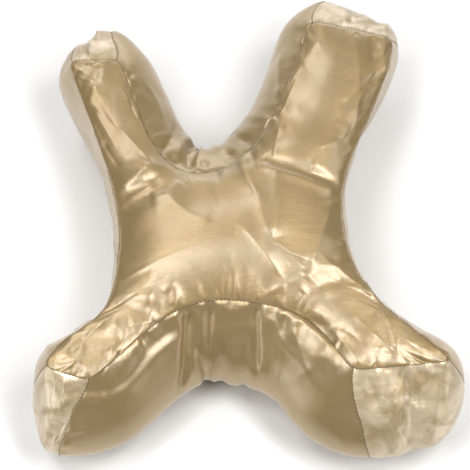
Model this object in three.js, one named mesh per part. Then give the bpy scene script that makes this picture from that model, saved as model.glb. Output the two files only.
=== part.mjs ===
import * as THREE from "three";

// A filled four-limbed neck pillow lying on its back: two short arms towards +Y, two legs towards -Y.
// Sizes are millimetres and angles are degrees. The cover's top seam is drawn in plan and everything
// else is worked out from it.

// Heights above the face the pillow rests on.
const SEAM_TOP = 120;
const SEAM_LOW = 18;
const CROWN = 21;

// The crown follows a film blown up inside the seam, with its height taken to this power.
const CROWN_POWER = 0.8;
const FILM_SWEEPS = 400;
const FILM_STRIDE = 1.7;

// Plan: the middle of the body, the rounding of each limb's corners and the share of the underside,
// from its crown line out, that lies flat.
const CENTRE = new THREE.Vector2(-4, 4);
const CORNER = 11;
const FLAT_SHARE = 0.55;

// A sewn seam sits this far inside the cloth on both sides of it.
const SEAM_DIP = 2.2;

// The widest level of a wall, as a share of its height, how far that level follows the wall's facing,
// and the power that rounds its belly.
const WIDEST = 0.5;
const WIDEST_LEAN = 0.11;
const BELLY_POWER = 0.95;

// How often the walls' facing is evened out: little at the corners and more in the hollows, where
// neighbouring rows swell towards each other.
const CORNER_EVENING = 2;
const HOLLOW_EVENING = 18;

// Rows along half a side, round a corner and across an end.
const SIDE_ROWS = 17;
const CORNER_ROWS = 4;
const TIP_ROWS = 6;

// Steps from the crown line out to the top seam, down the wall as shares of its height, and in from the
// low seam to the flat.
const TOP_STEPS = [0, 0.16, 0.32, 0.46, 0.59, 0.7, 0.8, 0.88, 0.95, 1];
const WALL_STEPS = [0.96, 0.88, 0.78, 0.67, 0.56, 0.45, 0.34, 0.23, 0.13, 0.05, 0];
const UNDER_STEPS = [0.88, 0.77, 0.66, FLAT_SHARE];

// The hollows between limbs, anticlockwise: middle of the seam there, its heading, its reach each way,
// how far the wall swells out below it and how far the low seam stands out or is drawn in.
const NOTCHES = [
  { name: "waist_right", x: 101, y: 22, heading: 92, back: 88, ahead: 65, swell: 13, foot: -14 },
  { name: "vee", x: -32, y: 64, heading: 183, back: 63, ahead: 51, swell: 48, foot: 0 },
  { name: "waist_left", x: -108, y: -17, heading: 267, back: 66, ahead: 86, swell: 10, foot: -6 },
  { name: "arch", x: -3, y: -65, heading: -4, back: 59, ahead: 57, swell: 56, foot: 8 },
];

// The limb after each hollow: its first and second corner, each with the heading back along its side
// and the reach that way, then the bend of its crown line and how far that line stops short of the end.
const LIMBS = [
  {
    name: "arm_right",
    first: { x: 155, y: 211, heading: 267, reach: 62 },
    second: { x: 75, y: 231, heading: 250, reach: 64 },
    root: { x: 74, y: 92 },
    inset: 42,
  },
  {
    name: "arm_left",
    first: { x: -114, y: 187, heading: 296, reach: 56 },
    second: { x: -162, y: 186, heading: 286, reach: 64 },
    root: { x: -88, y: 88 },
    inset: 32,
  },
  {
    name: "leg_left",
    first: { x: -174, y: -128, heading: 58, reach: 68 },
    second: { x: -130, y: -142, heading: 40, reach: 57 },
    root: { x: -78, y: -58 },
    inset: 30,
  },
  {
    name: "leg_right",
    first: { x: 105, y: -132, heading: 123, reach: 58 },
    second: { x: 197, y: -123, heading: 136, reach: 63 },
    root: { x: 82, y: -50 },
    inset: 40,
  },
];

// How far each limb's walls swell: first side, first corner, both halves of the end, second corner and
// second side.
const LIMB_SWELL = [
  { side1: -3, edge1: 15, tip1: 33, tip2: 46, edge2: 31, side2: 30 },
  { side1: 39, edge1: 34, tip1: 54, tip2: 38, edge2: 18, side2: 5 },
  { side1: 8, edge1: 15, tip1: 49, tip2: 55, edge2: 46, side2: 49 },
  { side1: 58, edge1: 54, tip1: 59, tip2: 56, edge2: 18, side2: 12 },
];

// Corners that the upright seams pull to a point: place round the outline and how much further the wall
// stands out there, over this half width.
const PEAK_HALF = 0.12;
const PEAKS = [
  { name: "arm_right_outer", at: 1.24, more: 7 },
  { name: "arm_right_inner", at: 2.76, more: 5 },
  { name: "arm_left_inner", at: 5.2, more: 6 },
  { name: "arm_left_outer", at: 6.75, more: 5 },
  { name: "leg_left_outer", at: 8.92, more: 5 },
  { name: "leg_right_outer", at: 15.06, more: 5 },
];

// How far each limb's low seam stands out from the top one: first side, end and second side.
const LIMB_FOOT = [
  { side1: -18, tip: 0, side2: 0 },
  { side1: 0, tip: 0, side2: -4 },
  { side1: -2, tip: 6, side2: 6 },
  { side1: 8, tip: 10, side2: -4 },
];

// Folds across the top panel: both ends, half the width and the rise, or the fall when negative.
const FOLDS = [
  { name: "arm_left_ridge_high", x1: -112, y1: 46, x2: -84, y2: 62, half: 13, rise: 5 },
  { name: "arm_left_valley", x1: -104, y1: 26, x2: -72, y2: 46, half: 12, rise: -4 },
  { name: "arm_left_ridge_low", x1: -94, y1: 8, x2: -62, y2: 28, half: 13, rise: 4 },
  { name: "arm_right_fold", x1: 40, y1: 66, x2: 84, y2: 50, half: 14, rise: -5 },
  { name: "arm_right_lip", x1: 50, y1: 92, x2: 88, y2: 78, half: 15, rise: 3 },
  { name: "waist_right_fold", x1: 50, y1: -48, x2: 88, y2: -38, half: 14, rise: -4 },
  { name: "leg_right_shadow", x1: 70, y1: -82, x2: 92, y2: -104, half: 14, rise: -4 },
  { name: "leg_right_crease", x1: 124, y1: -84, x2: 140, y2: -112, half: 14, rise: -4 },
  { name: "leg_left_crease", x1: -116, y1: -84, x2: -132, y2: -112, half: 13, rise: -3 },
];

// Upright pleats in the walls: place round the outline, half the width and the depth.
const PLEATS = [
  { name: "vee_right", at: 3.74, half: 0.06, depth: 3 },
  { name: "vee_middle", at: 3.9, half: 0.06, depth: 4 },
  { name: "vee_left", at: 4.09, half: 0.06, depth: 6 },
  { name: "arch_left", at: 11.7, half: 0.06, depth: 4 },
  { name: "arch_middle", at: 11.88, half: 0.06, depth: 3 },
  { name: "arch_right", at: 12.16, half: 0.06, depth: 3 },
  { name: "leg_right_end", at: 14.06, half: 0.2, depth: 4 },
];

const LIMB_STATIONS = [0, 0.6, 1.12, 1.32, 2.68, 2.88, 3.4];
const SECTOR = 4;

function heading(degrees, reach) {
  const angle = THREE.MathUtils.degToRad(degrees);
  return new THREE.Vector2(Math.cos(angle) * reach, Math.sin(angle) * reach);
}

function point(entry) {
  return new THREE.Vector2(entry.x, entry.y);
}

// Rows round the top seam, each with its place on the seam, the point of the crown line it runs to and
// its place in the tables.
function seamRows() {
  const rows = [];
  NOTCHES.forEach((notch, i) => {
    const limb = LIMBS[i];
    const next = NOTCHES[(i + 1) % NOTCHES.length];
    const a = point(limb.first);
    const b = point(limb.second);
    const mid = point(notch);
    const midNext = point(next);
    const sideA = new THREE.CubicBezierCurve(
      mid,
      mid.clone().add(heading(notch.heading, notch.ahead)),
      a.clone().add(heading(limb.first.heading, limb.first.reach)),
      a,
    );
    const sideB = new THREE.CubicBezierCurve(
      b,
      b.clone().add(heading(limb.second.heading, limb.second.reach)),
      midNext.clone().sub(heading(next.heading, next.back)),
      midNext,
    );
    const lengthA = sideA.getLength();
    const lengthB = sideB.getLength();
    const root = point(limb.root);
    const tipMiddle = a.clone().lerp(b, 0.5);
    const end = root.clone().sub(tipMiddle).setLength(limb.inset).add(tipMiddle);
    const crownLine = new THREE.QuadraticBezierCurve(CENTRE, root, end);
    const across = b.clone().sub(a);
    const cut = Math.min(CORNER, across.length() * 0.3);
    const along = across.clone().setLength(cut);
    const cornerA = new THREE.QuadraticBezierCurve(
      sideA.getPointAt(1 - CORNER / lengthA),
      a,
      a.clone().add(along),
    );
    const cornerB = new THREE.QuadraticBezierCurve(
      b.clone().sub(along),
      b,
      sideB.getPointAt(CORNER / lengthB),
    );
    const base = i * SECTOR;
    for (let k = 0; k < SIDE_ROWS; k += 1) {
      const q = k / SIDE_ROWS;
      const seam = sideA.getPointAt(q * (1 - CORNER / lengthA));
      rows.push({ seam, crown: crownLine.getPointAt(q), at: base + q });
    }
    for (let k = 0; k < CORNER_ROWS; k += 1) {
      const q = k / CORNER_ROWS;
      rows.push({ seam: cornerA.getPoint(q), crown: end, at: base + 1 + 0.25 * q });
    }
    for (let k = 0; k < TIP_ROWS; k += 1) {
      const q = k / TIP_ROWS;
      const seam = cornerA.v2.clone().lerp(cornerB.v0, q);
      rows.push({ seam, crown: end, at: base + 1.25 + 1.5 * q });
    }
    for (let k = 0; k < CORNER_ROWS; k += 1) {
      const q = k / CORNER_ROWS;
      rows.push({ seam: cornerB.getPoint(q), crown: end, at: base + 2.75 + 0.25 * q });
    }
    for (let k = 0; k < SIDE_ROWS; k += 1) {
      const q = k / SIDE_ROWS;
      const seam = sideB.getPointAt(CORNER / lengthB + q * (1 - CORNER / lengthB));
      const crown = crownLine.getPointAt((SIDE_ROWS - k) / SIDE_ROWS);
      rows.push({ seam, crown, at: base + 3 + q });
    }
  });
  return rows;
}

// Straight-line reading of a table of places and values, closed round the outline.
function readTable(places, values, at) {
  const last = places.length - 1;
  const whole = SECTOR * NOTCHES.length;
  for (let i = 0; i <= last; i += 1) {
    const from = places[i];
    const to = i === last ? whole : places[i + 1];
    if (at >= from && at <= to) {
      const share = (at - from) / (to - from);
      return THREE.MathUtils.lerp(values[i], values[(i + 1) % values.length], share);
    }
  }
  return values[0];
}

// Runs a value over its neighbours round the ring, a number of times.
function evenOut(values, times) {
  let current = values;
  for (let pass = 0; pass < times; pass += 1) {
    current = current.map((value, i) => {
      const before = current[(i + current.length - 1) % current.length];
      const after = current[(i + 1) % current.length];
      return (before + 2 * value + after) / 4;
    });
  }
  return current;
}

function evenFacing(facing, times) {
  const x = evenOut(facing.map((v) => v.x), times);
  const y = evenOut(facing.map((v) => v.y), times);
  return facing.map((v, i) => new THREE.Vector2(x[i], y[i]).normalize());
}

// How much further the wall stands out at a place round the outline, near a pointed corner.
function peakSwell(at) {
  return PEAKS.reduce((sum, peak) => {
    const share = (at - peak.at) / PEAK_HALF;
    return sum + peak.more * Math.exp(-(share * share));
  }, 0);
}

// Adds to each row its facing in plan, the way out from the crown line, its swell and its foot.
function shapeRows(rows) {
  const count = rows.length;
  const places = NOTCHES.flatMap((notch, i) => LIMB_STATIONS.map((station) => i * SECTOR + station));
  const swells = NOTCHES.flatMap((notch, i) => [notch.swell, ...Object.values(LIMB_SWELL[i])]);
  const feet = NOTCHES.flatMap((notch, i) => {
    const foot = LIMB_FOOT[i];
    const edge1 = (foot.side1 + foot.tip) / 2;
    const edge2 = (foot.tip + foot.side2) / 2;
    return [notch.foot, foot.side1, edge1, foot.tip, foot.tip, edge2, foot.side2];
  });
  const tableSwell = evenOut(rows.map((row) => readTable(places, swells, row.at)), 1);
  const swell = tableSwell.map((value, i) => value + peakSwell(rows[i].at));
  const foot = evenOut(rows.map((row) => readTable(places, feet, row.at)), 6);
  const facing = rows.map((row, i) => {
    const before = rows[(i + count - 1) % count].seam;
    const after = rows[(i + 1) % count].seam;
    return new THREE.Vector2(after.y - before.y, before.x - after.x).normalize();
  });
  const sharp = evenFacing(facing, CORNER_EVENING);
  const soft = evenFacing(facing, HOLLOW_EVENING);
  return rows.map((row, i) => {
    const hollow = Math.round(row.at / SECTOR) * SECTOR;
    const away = THREE.MathUtils.smoothstep(Math.abs(row.at - hollow), 0.15, 0.5);
    const out = soft[i].clone().lerp(sharp[i], away).normalize();
    const spread = row.seam.clone().sub(row.crown).normalize();
    return { ...row, out, spread, swell: swell[i], foot: foot[i] };
  });
}

// Rise of the top panel's folds at a place in plan.
function foldRise(x, y) {
  return FOLDS.reduce((sum, fold) => {
    const start = new THREE.Vector2(fold.x1, fold.y1);
    const line = new THREE.Vector2(fold.x2, fold.y2).sub(start);
    const offset = new THREE.Vector2(x, y).sub(start);
    const share = THREE.MathUtils.clamp(offset.dot(line) / line.lengthSq(), 0, 1);
    const distance = offset.distanceTo(line.multiplyScalar(share));
    return sum + fold.rise * Math.exp(-((distance / fold.half) ** 2));
  }, 0);
}

// Depth of the wall's pleats and corner seams at a place round the outline.
function pleatDepth(at) {
  const local = at % SECTOR;
  const cornerSeam = local === 1.125 || local === 2.875 ? SEAM_DIP : 0;
  return PLEATS.reduce((sum, pleat) => {
    const share = (at - pleat.at) / pleat.half;
    return sum + pleat.depth * Math.exp(-(share * share));
  }, cornerSeam);
}

// Height of a film held along its rim and pressed up evenly, over triangles in plan.
function filmHeights(plan, triangles, held) {
  const links = plan.map(() => new Map());
  const load = plan.map(() => 0);
  const addLink = (i, j, weight) => {
    links[i].set(j, (links[i].get(j) ?? 0) + weight);
    links[j].set(i, (links[j].get(i) ?? 0) + weight);
  };
  triangles.forEach((corners) => {
    corners.forEach((apex, k) => {
      const i = corners[(k + 1) % 3];
      const j = corners[(k + 2) % 3];
      const u = plan[i].clone().sub(plan[apex]);
      const v = plan[j].clone().sub(plan[apex]);
      const doubleArea = Math.abs(u.cross(v));
      addLink(i, j, u.dot(v) / doubleArea / 2);
      load[apex] += doubleArea / 6;
    });
  });
  const height = plan.map(() => 0);
  for (let sweep = 0; sweep < FILM_SWEEPS; sweep += 1) {
    links.forEach((link, i) => {
      if (link.size > 0 && !held(i)) {
        let pull = load[i];
        let weights = 0;
        link.forEach((weight, j) => {
          pull += weight * height[j];
          weights += weight;
        });
        height[i] += FILM_STRIDE * (pull / weights - height[i]);
      }
    });
  }
  return height;
}

// Strips of triangles between neighbouring rings, leaving out those with two corners at one place.
function stripTriangles(ringCount, rowCount, same) {
  const triangles = [];
  const add = (corners) => {
    const merged = corners.map((corner) => same[corner]);
    if (new Set(merged).size === 3) {
      triangles.push(merged);
    }
  };
  for (let j = 0; j + 1 < ringCount; j += 1) {
    for (let i = 0; i < rowCount; i += 1) {
      const next = (i + 1) % rowCount;
      const inner = j * rowCount;
      const outer = inner + rowCount;
      add([inner + i, outer + i, outer + next]);
      add([inner + i, outer + next, inner + next]);
    }
  }
  return triangles;
}

// For each place in plan on the crown line, the first place that matches it.
function mergeCrownLine(plan, rowCount) {
  const seen = new Map();
  return plan.map((p, i) => {
    const key = `${p.x.toFixed(3)} ${p.y.toFixed(3)}`;
    if (i >= rowCount) {
      return i;
    }
    if (!seen.has(key)) {
      seen.set(key, i);
    }
    return seen.get(key);
  });
}

// The top panel's rings, crowned like the film, with its folds and the seam's dip.
function topRings(rows) {
  const plan = TOP_STEPS.flatMap((t) => rows.map((row) => row.crown.clone().lerp(row.seam, t)));
  const seamStart = plan.length - rows.length;
  const same = mergeCrownLine(plan, rows.length);
  const triangles = stripTriangles(TOP_STEPS.length, rows.length, same);
  const film = filmHeights(plan, triangles, (i) => i >= seamStart);
  const highest = Math.max(...film);
  return TOP_STEPS.map((t, j) =>
    rows.map((row, i) => {
      const place = same[j * rows.length + i];
      const dip = t === 1 ? SEAM_DIP : 0;
      const { x, y } = plan[place].clone().addScaledVector(row.spread, -dip * 0.6);
      const crown = CROWN * (Math.max(film[place], 0) / highest) ** CROWN_POWER;
      const fold = foldRise(x, y) * (1 - t ** 6);
      return new THREE.Vector3(x, y, SEAM_TOP + crown + fold - dip * 0.7);
    }),
  );
}

function wallRing(rows, s) {
  const atSeam = s === 0 ? SEAM_DIP : 0;
  const z = THREE.MathUtils.lerp(SEAM_LOW, SEAM_TOP, s);
  return rows.map((row) => {
    const level = WIDEST + WIDEST_LEAN * row.out.y;
    const bend = Math.log(0.5) / Math.log(level);
    const belly = s === 0 ? 0 : Math.sin(Math.PI * s ** bend) ** BELLY_POWER;
    const swell = row.swell * belly - pleatDepth(row.at) * Math.sqrt(belly);
    const plan = row.seam.clone().addScaledVector(row.out, swell);
    plan.addScaledVector(row.spread, row.foot * (1 - s) - atSeam);
    return new THREE.Vector3(plan.x, plan.y, z);
  });
}

function underRing(rows, t) {
  const share = (t - FLAT_SHARE) / (1 - FLAT_SHARE);
  return rows.map((row) => {
    const low = row.seam.clone().addScaledVector(row.spread, row.foot);
    const plan = row.crown.clone().lerp(low, t);
    return new THREE.Vector3(plan.x, plan.y, SEAM_LOW * share * share);
  });
}

// One closed skin: strips between neighbouring rings, then the flat face inside the last ring.
function pillowGeometry() {
  const rows = shapeRows(seamRows());
  const rings = [
    ...topRings(rows),
    ...WALL_STEPS.map((s) => wallRing(rows, s)),
    ...UNDER_STEPS.map((t) => underRing(rows, t)),
  ];
  const vertices = rings.flat();
  const same = mergeCrownLine(vertices, rows.length);
  const index = stripTriangles(rings.length, rows.length, same).flat();
  const lastStart = vertices.length - rows.length;
  const contour = rings[rings.length - 1].map((v) => new THREE.Vector2(v.x, v.y));
  THREE.ShapeUtils.triangulateShape(contour, []).forEach(([a, b, c]) => {
    index.push(lastStart + a, lastStart + c, lastStart + b);
  });
  const geometry = new THREE.BufferGeometry();
  const flat = vertices.flatMap((v) => [v.x, v.y, v.z]);
  geometry.setAttribute("position", new THREE.Float32BufferAttribute(flat, 3));
  geometry.setIndex(index);
  return geometry;
}

function centreInPlan(geometry) {
  geometry.computeBoundingBox();
  const middle = geometry.boundingBox.getCenter(new THREE.Vector3());
  geometry.translate(-middle.x, -middle.y, 0);
  geometry.computeVertexNormals();
  return geometry;
}

const satin = new THREE.MeshStandardMaterial({ color: 0xc9ae7e, roughness: 0.42, metalness: 0 });
const pillow = new THREE.Mesh(centreInPlan(pillowGeometry()), satin);
pillow.name = "pillow";

const group = new THREE.Group();
group.name = "cervical_pillow";
group.add(pillow);

export default group;
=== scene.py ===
"""Satin cervical pillow: the sewn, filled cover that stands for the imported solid, on a pale floor."""

import math

import bpy
import numpy as np
from mathutils.kdtree import KDTree
from numpy.linalg import norm
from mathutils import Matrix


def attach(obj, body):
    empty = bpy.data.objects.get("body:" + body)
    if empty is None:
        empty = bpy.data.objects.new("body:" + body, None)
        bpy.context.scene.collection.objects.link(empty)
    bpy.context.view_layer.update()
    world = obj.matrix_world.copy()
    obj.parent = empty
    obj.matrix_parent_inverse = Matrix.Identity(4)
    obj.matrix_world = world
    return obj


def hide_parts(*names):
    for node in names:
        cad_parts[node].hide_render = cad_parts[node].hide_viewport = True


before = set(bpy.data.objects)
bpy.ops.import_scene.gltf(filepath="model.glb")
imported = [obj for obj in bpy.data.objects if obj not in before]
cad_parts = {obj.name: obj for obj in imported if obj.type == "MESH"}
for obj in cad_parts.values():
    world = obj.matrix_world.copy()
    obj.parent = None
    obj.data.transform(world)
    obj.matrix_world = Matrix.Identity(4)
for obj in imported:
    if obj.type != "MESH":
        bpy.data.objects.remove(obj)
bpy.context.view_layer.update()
scene = bpy.context.scene

# Millimetres in a metre, which the scene is built in.
METRE = 1000

# The pillow's form. Sizes are millimetres and angles are degrees, as in the solid.
SEAM_TOP = 120.0
SEAM_LOW = 18.0
CROWN = 21.0
CROWN_POWER = 0.8
CENTRE = np.array([-4.0, 4.0])
CORNER = 11.0
FLAT_SHARE = 0.55
WIDEST = 0.5
WIDEST_LEAN = 0.11
BELLY_POWER = 0.95
# How much closer rings lie at the seams, on the top panel and the wall, and rows at upright seams.
TOP_CLOSING = 1.25
WALL_CLOSING = 0.4
CORNER_CLOSING = 1.6
# Points of a curve, and the most steps and least change in working out the top panel's height.
CURVE_STEPS = 600
FILM_STEPS = 600
FILM_CHANGE = 1e-12

# Places round the outline at which a limb's side, corner, end, corner and side begin, then the next limb.
STRETCHES = (0, 1, 1.25, 2.75, 3, 4)
SECTOR = STRETCHES[-1]

# Middle of the plan's box, which the solid has at its origin.
PLAN_MIDDLE = (12.61, 39.60)

# Rows of the form on each limb's sides, corners and end.
SIDE_ROWS = 38
CORNER_ROWS = 12
TIP_ROWS = 15
# The same for the cover, which has more of its rows on the limb ends.
COVER_ROWS = (36, 6, 31)
# Rings of the top panel, the wall and the underside, and those that follow the two seams.
TOP_RINGS = 22
WALL_RINGS = 28
UNDER_RINGS = 6
TOP_SEAM = TOP_RINGS - 1
LOW_SEAM = TOP_SEAM + WALL_RINGS
# The solid's rows on a side, and how often it evens out swell, foot and facing at limbs and hollows.
CAD_SIDE_ROWS = 17
SWELL_EVENING = 1
FOOT_EVENING = 6
LIMB_EVENING = 2
HOLLOW_EVENING = 18
# Places from a hollow's middle over which the walls' facing gets sharper.
HOLLOW_BAND = (0.15, 0.5)

# Hollows: middle x, y, heading, reach back, reach ahead, swell, foot.
NOTCHES = [
    (101, 22, 92, 88, 65, 13, -14),
    (-32, 64, 183, 63, 51, 48, 0),
    (-108, -17, 267, 66, 86, 10, -6),
    (-3, -65, -4, 59, 57, 56, 8),
]
# Limbs: first corner x, y, heading, reach; second corner x, y, heading, reach; root x, y; inset.
LIMBS = [
    (155, 211, 267, 62, 75, 231, 250, 64, 74, 92, 42),
    (-114, 187, 296, 56, -162, 186, 286, 64, -88, 88, 32),
    (-174, -128, 58, 68, -130, -142, 40, 57, -78, -58, 30),
    (105, -132, 123, 58, 197, -123, 136, 63, 82, -50, 40),
]
# Place at which the outline closes.
WHOLE_ROUND = SECTOR * len(LIMBS)
# Swell of each limb's walls: first side, first corner, end twice, second corner, second side.
LIMB_SWELL = [
    (-3, 15, 33, 46, 31, 30),
    (39, 34, 54, 38, 18, 5),
    (8, 15, 49, 55, 46, 49),
    (58, 54, 59, 56, 18, 12),
]
# Corners that the upright seams pull to a point: place round the outline, how far.
PEAKS = [(1.24, 7), (2.76, 5), (5.2, 6), (6.75, 5), (8.92, 5), (15.06, 5)]
PEAK_HALF = 0.12
# How far the low seam stands out: first side, end, second side.
LIMB_FOOT = [(-18, 0, 0), (0, 0, -4), (-2, 6, 6), (8, 10, -4)]
LIMB_STATIONS = (0, 0.6, 1.12, 1.32, 2.68, 2.88, 3.4)
# Places round a limb where its end piece is sewn to the boxing strips.
UPRIGHT_SEAMS = (1.125, 2.875)
# Upright seams that lean: place at the top seam, slide half way down and at the foot.
SEAM_SLIDES = [
    (2.875, -0.25, -0.3),
    (5.125, 0.4, 0.4),
    (6.875, -0.25, -0.3),
    (10.875, -0.35, -0.45),
    (13.125, 0.2, 0.35),
]
SLIDE_HALF = 0.5
# Broad folds of the top panel under its finer creases: x1, y1, x2, y2, half width, rise.
FOLDS = [
    (-112, 46, -84, 62, 13, 2),
    (-104, 26, -72, 46, 12, -1.6),
    (-94, 8, -62, 28, 13, 1.6),
    (40, 66, 84, 50, 14, -2),
    (50, 92, 88, 78, 15, 1.2),
    (50, -48, 88, -38, 14, -1.6),
    (70, -82, 92, -104, 14, -1.6),
    (124, -84, 140, -112, 14, -1.6),
    (-116, -84, -132, -112, 13, -1.2),
]
# How late the folds fade out on their way to the seam.
FOLD_FADE = 6
# Upright pleats in the walls: place round the outline, half width, depth.
PLEATS = [
    (3.74, 0.06, 3),
    (3.9, 0.06, 4),
    (4.09, 0.06, 6),
    (11.7, 0.06, 4),
    (11.88, 0.06, 3),
    (12.16, 0.06, 3),
    (14.06, 0.1, 1.5),
]


def towards(degrees, reach):
    angle = math.radians(degrees)
    return np.array([math.cos(angle), math.sin(angle)]) * reach


def cubic(p0, p1, p2, p3):
    t = np.linspace(0, 1, CURVE_STEPS)[:, None]
    return (1 - t) ** 3 * p0 + 3 * (1 - t) ** 2 * t * p1 + 3 * (1 - t) * t * t * p2 + t ** 3 * p3


def quadratic(p0, p1, p2, t):
    t = t[:, None]
    return (1 - t) ** 2 * p0 + 2 * (1 - t) * t * p1 + t * t * p2


def bell(x):
    return np.exp(-x * x)


def lengths(line):
    """Distance along a line, or along each of many side by side, at each of its points."""
    steps = norm(np.diff(line, axis=0), axis=-1)
    return np.concatenate([0 * steps[:1], np.cumsum(steps, 0)])


def closed(line):
    return np.concatenate([line, line[:1]])


def taken_at(line, at, places):
    """Points of a line at other places along it than its own."""
    return np.stack([np.interp(places, at, line[:, k]) for k in range(line.shape[1])], 1)


def along(line, distance):
    return taken_at(line, lengths(line), distance)


def curve(a, b, c, d, t):
    """Points at shares of the way from b to c, on a smooth curve through a, b, c and d."""
    return b + 0.5 * ((c - a) * t + (2 * a - 5 * b + 4 * c - d) * t ** 2 + (3 * b - a - 3 * c + d) * t ** 3)


def corner_shares(rows):
    """Shares of the way round a corner, closer together at the upright seam in its middle."""
    q = 2 * np.arange(rows) / rows - 1
    return 0.5 + 0.5 * np.sign(q) * np.abs(q) ** CORNER_CLOSING


def outline_places(side_rows, corner_rows, tip_rows):
    """Places round the outline of so many rows on each limb's sides, corners and end."""
    side, tip = np.arange(side_rows) / side_rows, np.arange(tip_rows) / tip_rows
    corner = corner_shares(corner_rows)
    stretches = zip(STRETCHES, STRETCHES[1:], (side, corner, tip, corner, side))
    limb = np.concatenate([a + (b - a) * share for a, b, share in stretches])
    return np.concatenate([i * SECTOR + limb for i in range(len(LIMBS))])


def limb_lines(i):
    """Of one limb: the lines of its two sides and its crown, and the two corners of its end."""
    notch, following = NOTCHES[i], NOTCHES[(i + 1) % len(NOTCHES)]
    limb = np.array(LIMBS[i], float)
    middle, next_middle = np.array(notch[:2]), np.array(following[:2])
    a, b, root = limb[0:2], limb[4:6], limb[8:10]
    side_a = cubic(middle, middle + towards(notch[2], notch[4]), a + towards(limb[2], limb[3]), a)
    side_b = cubic(b, b + towards(limb[6], limb[7]),
                   next_middle - towards(following[2], following[3]), next_middle)
    tip_middle = (a + b) / 2
    back = (root - tip_middle) / norm(root - tip_middle)
    end = tip_middle + back * limb[10]
    spoke = quadratic(CENTRE, root, end, np.linspace(0, 1, CURVE_STEPS))
    return side_a, side_b, spoke, a, b


def seam_rows():
    """Rows round the top seam: points of it and of the crown line, places round the outline."""
    side = np.arange(SIDE_ROWS) / SIDE_ROWS
    corner = corner_shares(CORNER_ROWS)
    tip = np.arange(TIP_ROWS)[:, None] / TIP_ROWS
    seam, crown = [], []
    for i in range(len(LIMBS)):
        side_a, side_b, spoke, a, b = limb_lines(i)
        length_a, length_b, spoke_length = (lengths(line)[-1] for line in (side_a, side_b, spoke))
        across = b - a
        cut = across / norm(across) * CORNER
        seam += [
            along(side_a, side * (length_a - CORNER)),
            quadratic(along(side_a, [length_a - CORNER])[0], a, a + cut, corner),
            a + cut + (across - 2 * cut) * tip,
            quadratic(b - cut, b, along(side_b, [CORNER])[0], corner),
            along(side_b, CORNER + side * (length_b - CORNER)),
        ]
        crown += [
            along(spoke, side * spoke_length),
            np.repeat(spoke[-1:], 2 * CORNER_ROWS + TIP_ROWS, 0),
            along(spoke, (1 - side) * spoke_length),
        ]
    return np.concatenate(seam), np.concatenate(crown), outline_places(SIDE_ROWS, CORNER_ROWS, TIP_ROWS)


def even_out(values, times):
    """Values evened out with the rows beside them, as far as the solid does with fewer rows."""
    for _ in range(round(times * (SIDE_ROWS / CAD_SIDE_ROWS) ** 2)):
        values = (np.roll(values, 1, 0) + 2 * values + np.roll(values, -1, 0)) / 4
    return values


def unit_rows(v):
    return v / norm(v, axis=1)[:, None]


def smooth_step(x, low, high):
    s = np.clip((x - low) / (high - low), 0, 1)
    return s * s * (3 - 2 * s)


def wall_tables(at):
    """How far each row's wall swells out, and how far its foot stands out."""
    places, swells, feet = [], [], []
    for i, notch in enumerate(NOTCHES):
        first, tip, second = LIMB_FOOT[i]
        places += [i * SECTOR + s for s in LIMB_STATIONS]
        swells += [notch[5], *LIMB_SWELL[i]]
        feet += [notch[6], first, (first + tip) / 2, tip, tip, (tip + second) / 2, second]
    swell = even_out(np.interp(at, places, swells, period=WHOLE_ROUND), SWELL_EVENING)
    swell = swell + sum(more * bell((at - place) / PEAK_HALF) for place, more in PEAKS)
    return swell, even_out(np.interp(at, places, feet, period=WHOLE_ROUND), FOOT_EVENING)


def film_heights(plan, triangles, held):
    """Height of a film held along its rim and pressed up evenly."""
    count = len(plan)
    load = np.zeros(count)
    ends, weights = [], []
    for k in range(3):
        apex, i, j = (triangles[:, (k + m) % 3] for m in range(3))
        u, v = plan[i] - plan[apex], plan[j] - plan[apex]
        area = np.abs(u[:, 0] * v[:, 1] - u[:, 1] * v[:, 0])
        ends.append((i, j))
        weights.append((u * v).sum(1) / area / 2)
        load += np.bincount(apex, area / 6, count)
    i, j = np.concatenate(ends, 1)
    weight = np.concatenate(weights)
    diagonal = np.bincount(i, weight, count) + np.bincount(j, weight, count)
    free = (~held) & (diagonal > 0)

    def pull(h):
        result = diagonal * h - np.bincount(i, weight * h[j], count) - np.bincount(j, weight * h[i], count)
        return free * result

    height = np.zeros(count)
    scale = free / np.where(free, diagonal, 1)
    rest = free * load
    z = scale * rest
    step = z.copy()
    rho = rest @ z
    for _ in range(FILM_STEPS):
        pulled = pull(step)
        alpha = rho / (step @ pulled)
        height += alpha * step
        rest -= alpha * pulled
        z = scale * rest
        new = rest @ z
        if new < FILM_CHANGE * (load @ load):
            break
        step = z + new / rho * step
        rho = new
    return height


def segment_distance(p, a, b):
    line = b - a
    share = np.clip(((p - a) @ line) / (line @ line), 0, 1)
    return norm(p - a - share[..., None] * line, axis=-1), share


def fold_rise(plan):
    total = np.zeros(plan.shape[:-1])
    for x1, y1, x2, y2, half, rise in FOLDS:
        distance, _ = segment_distance(plan, np.array([x1, y1]), np.array([x2, y2]))
        total += rise * bell(distance / half)
    return total


def crown_line_merge(grid):
    """For each point, the index of the first at its place, since rows meet on the crown line."""
    same = np.arange(grid.shape[0] * grid.shape[1])
    seen = {}
    for i, p in enumerate(np.round(grid[0, :, :2], 3)):
        same[i] = seen.setdefault((p[0], p[1]), i)
    return same


def strip_quads(rings, rows, same):
    i = np.arange(rows)
    after = (i + 1) % rows
    quads = []
    for j in range(rings - 1):
        inner, outer = j * rows, (j + 1) * rows
        quads.append(np.stack([inner + i, outer + i, outer + after, inner + after], 1))
    return same[np.concatenate(quads)]


def quads_to_triangles(quads):
    triangles = np.concatenate([quads[:, [0, 1, 2]], quads[:, [0, 2, 3]]])
    a, b, c = triangles.T
    return triangles[(a != b) & (b != c) & (a != c)]


def at_height(plan, z):
    return np.concatenate([plan, np.full((len(plan), 1), z)], 1)[None]


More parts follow.
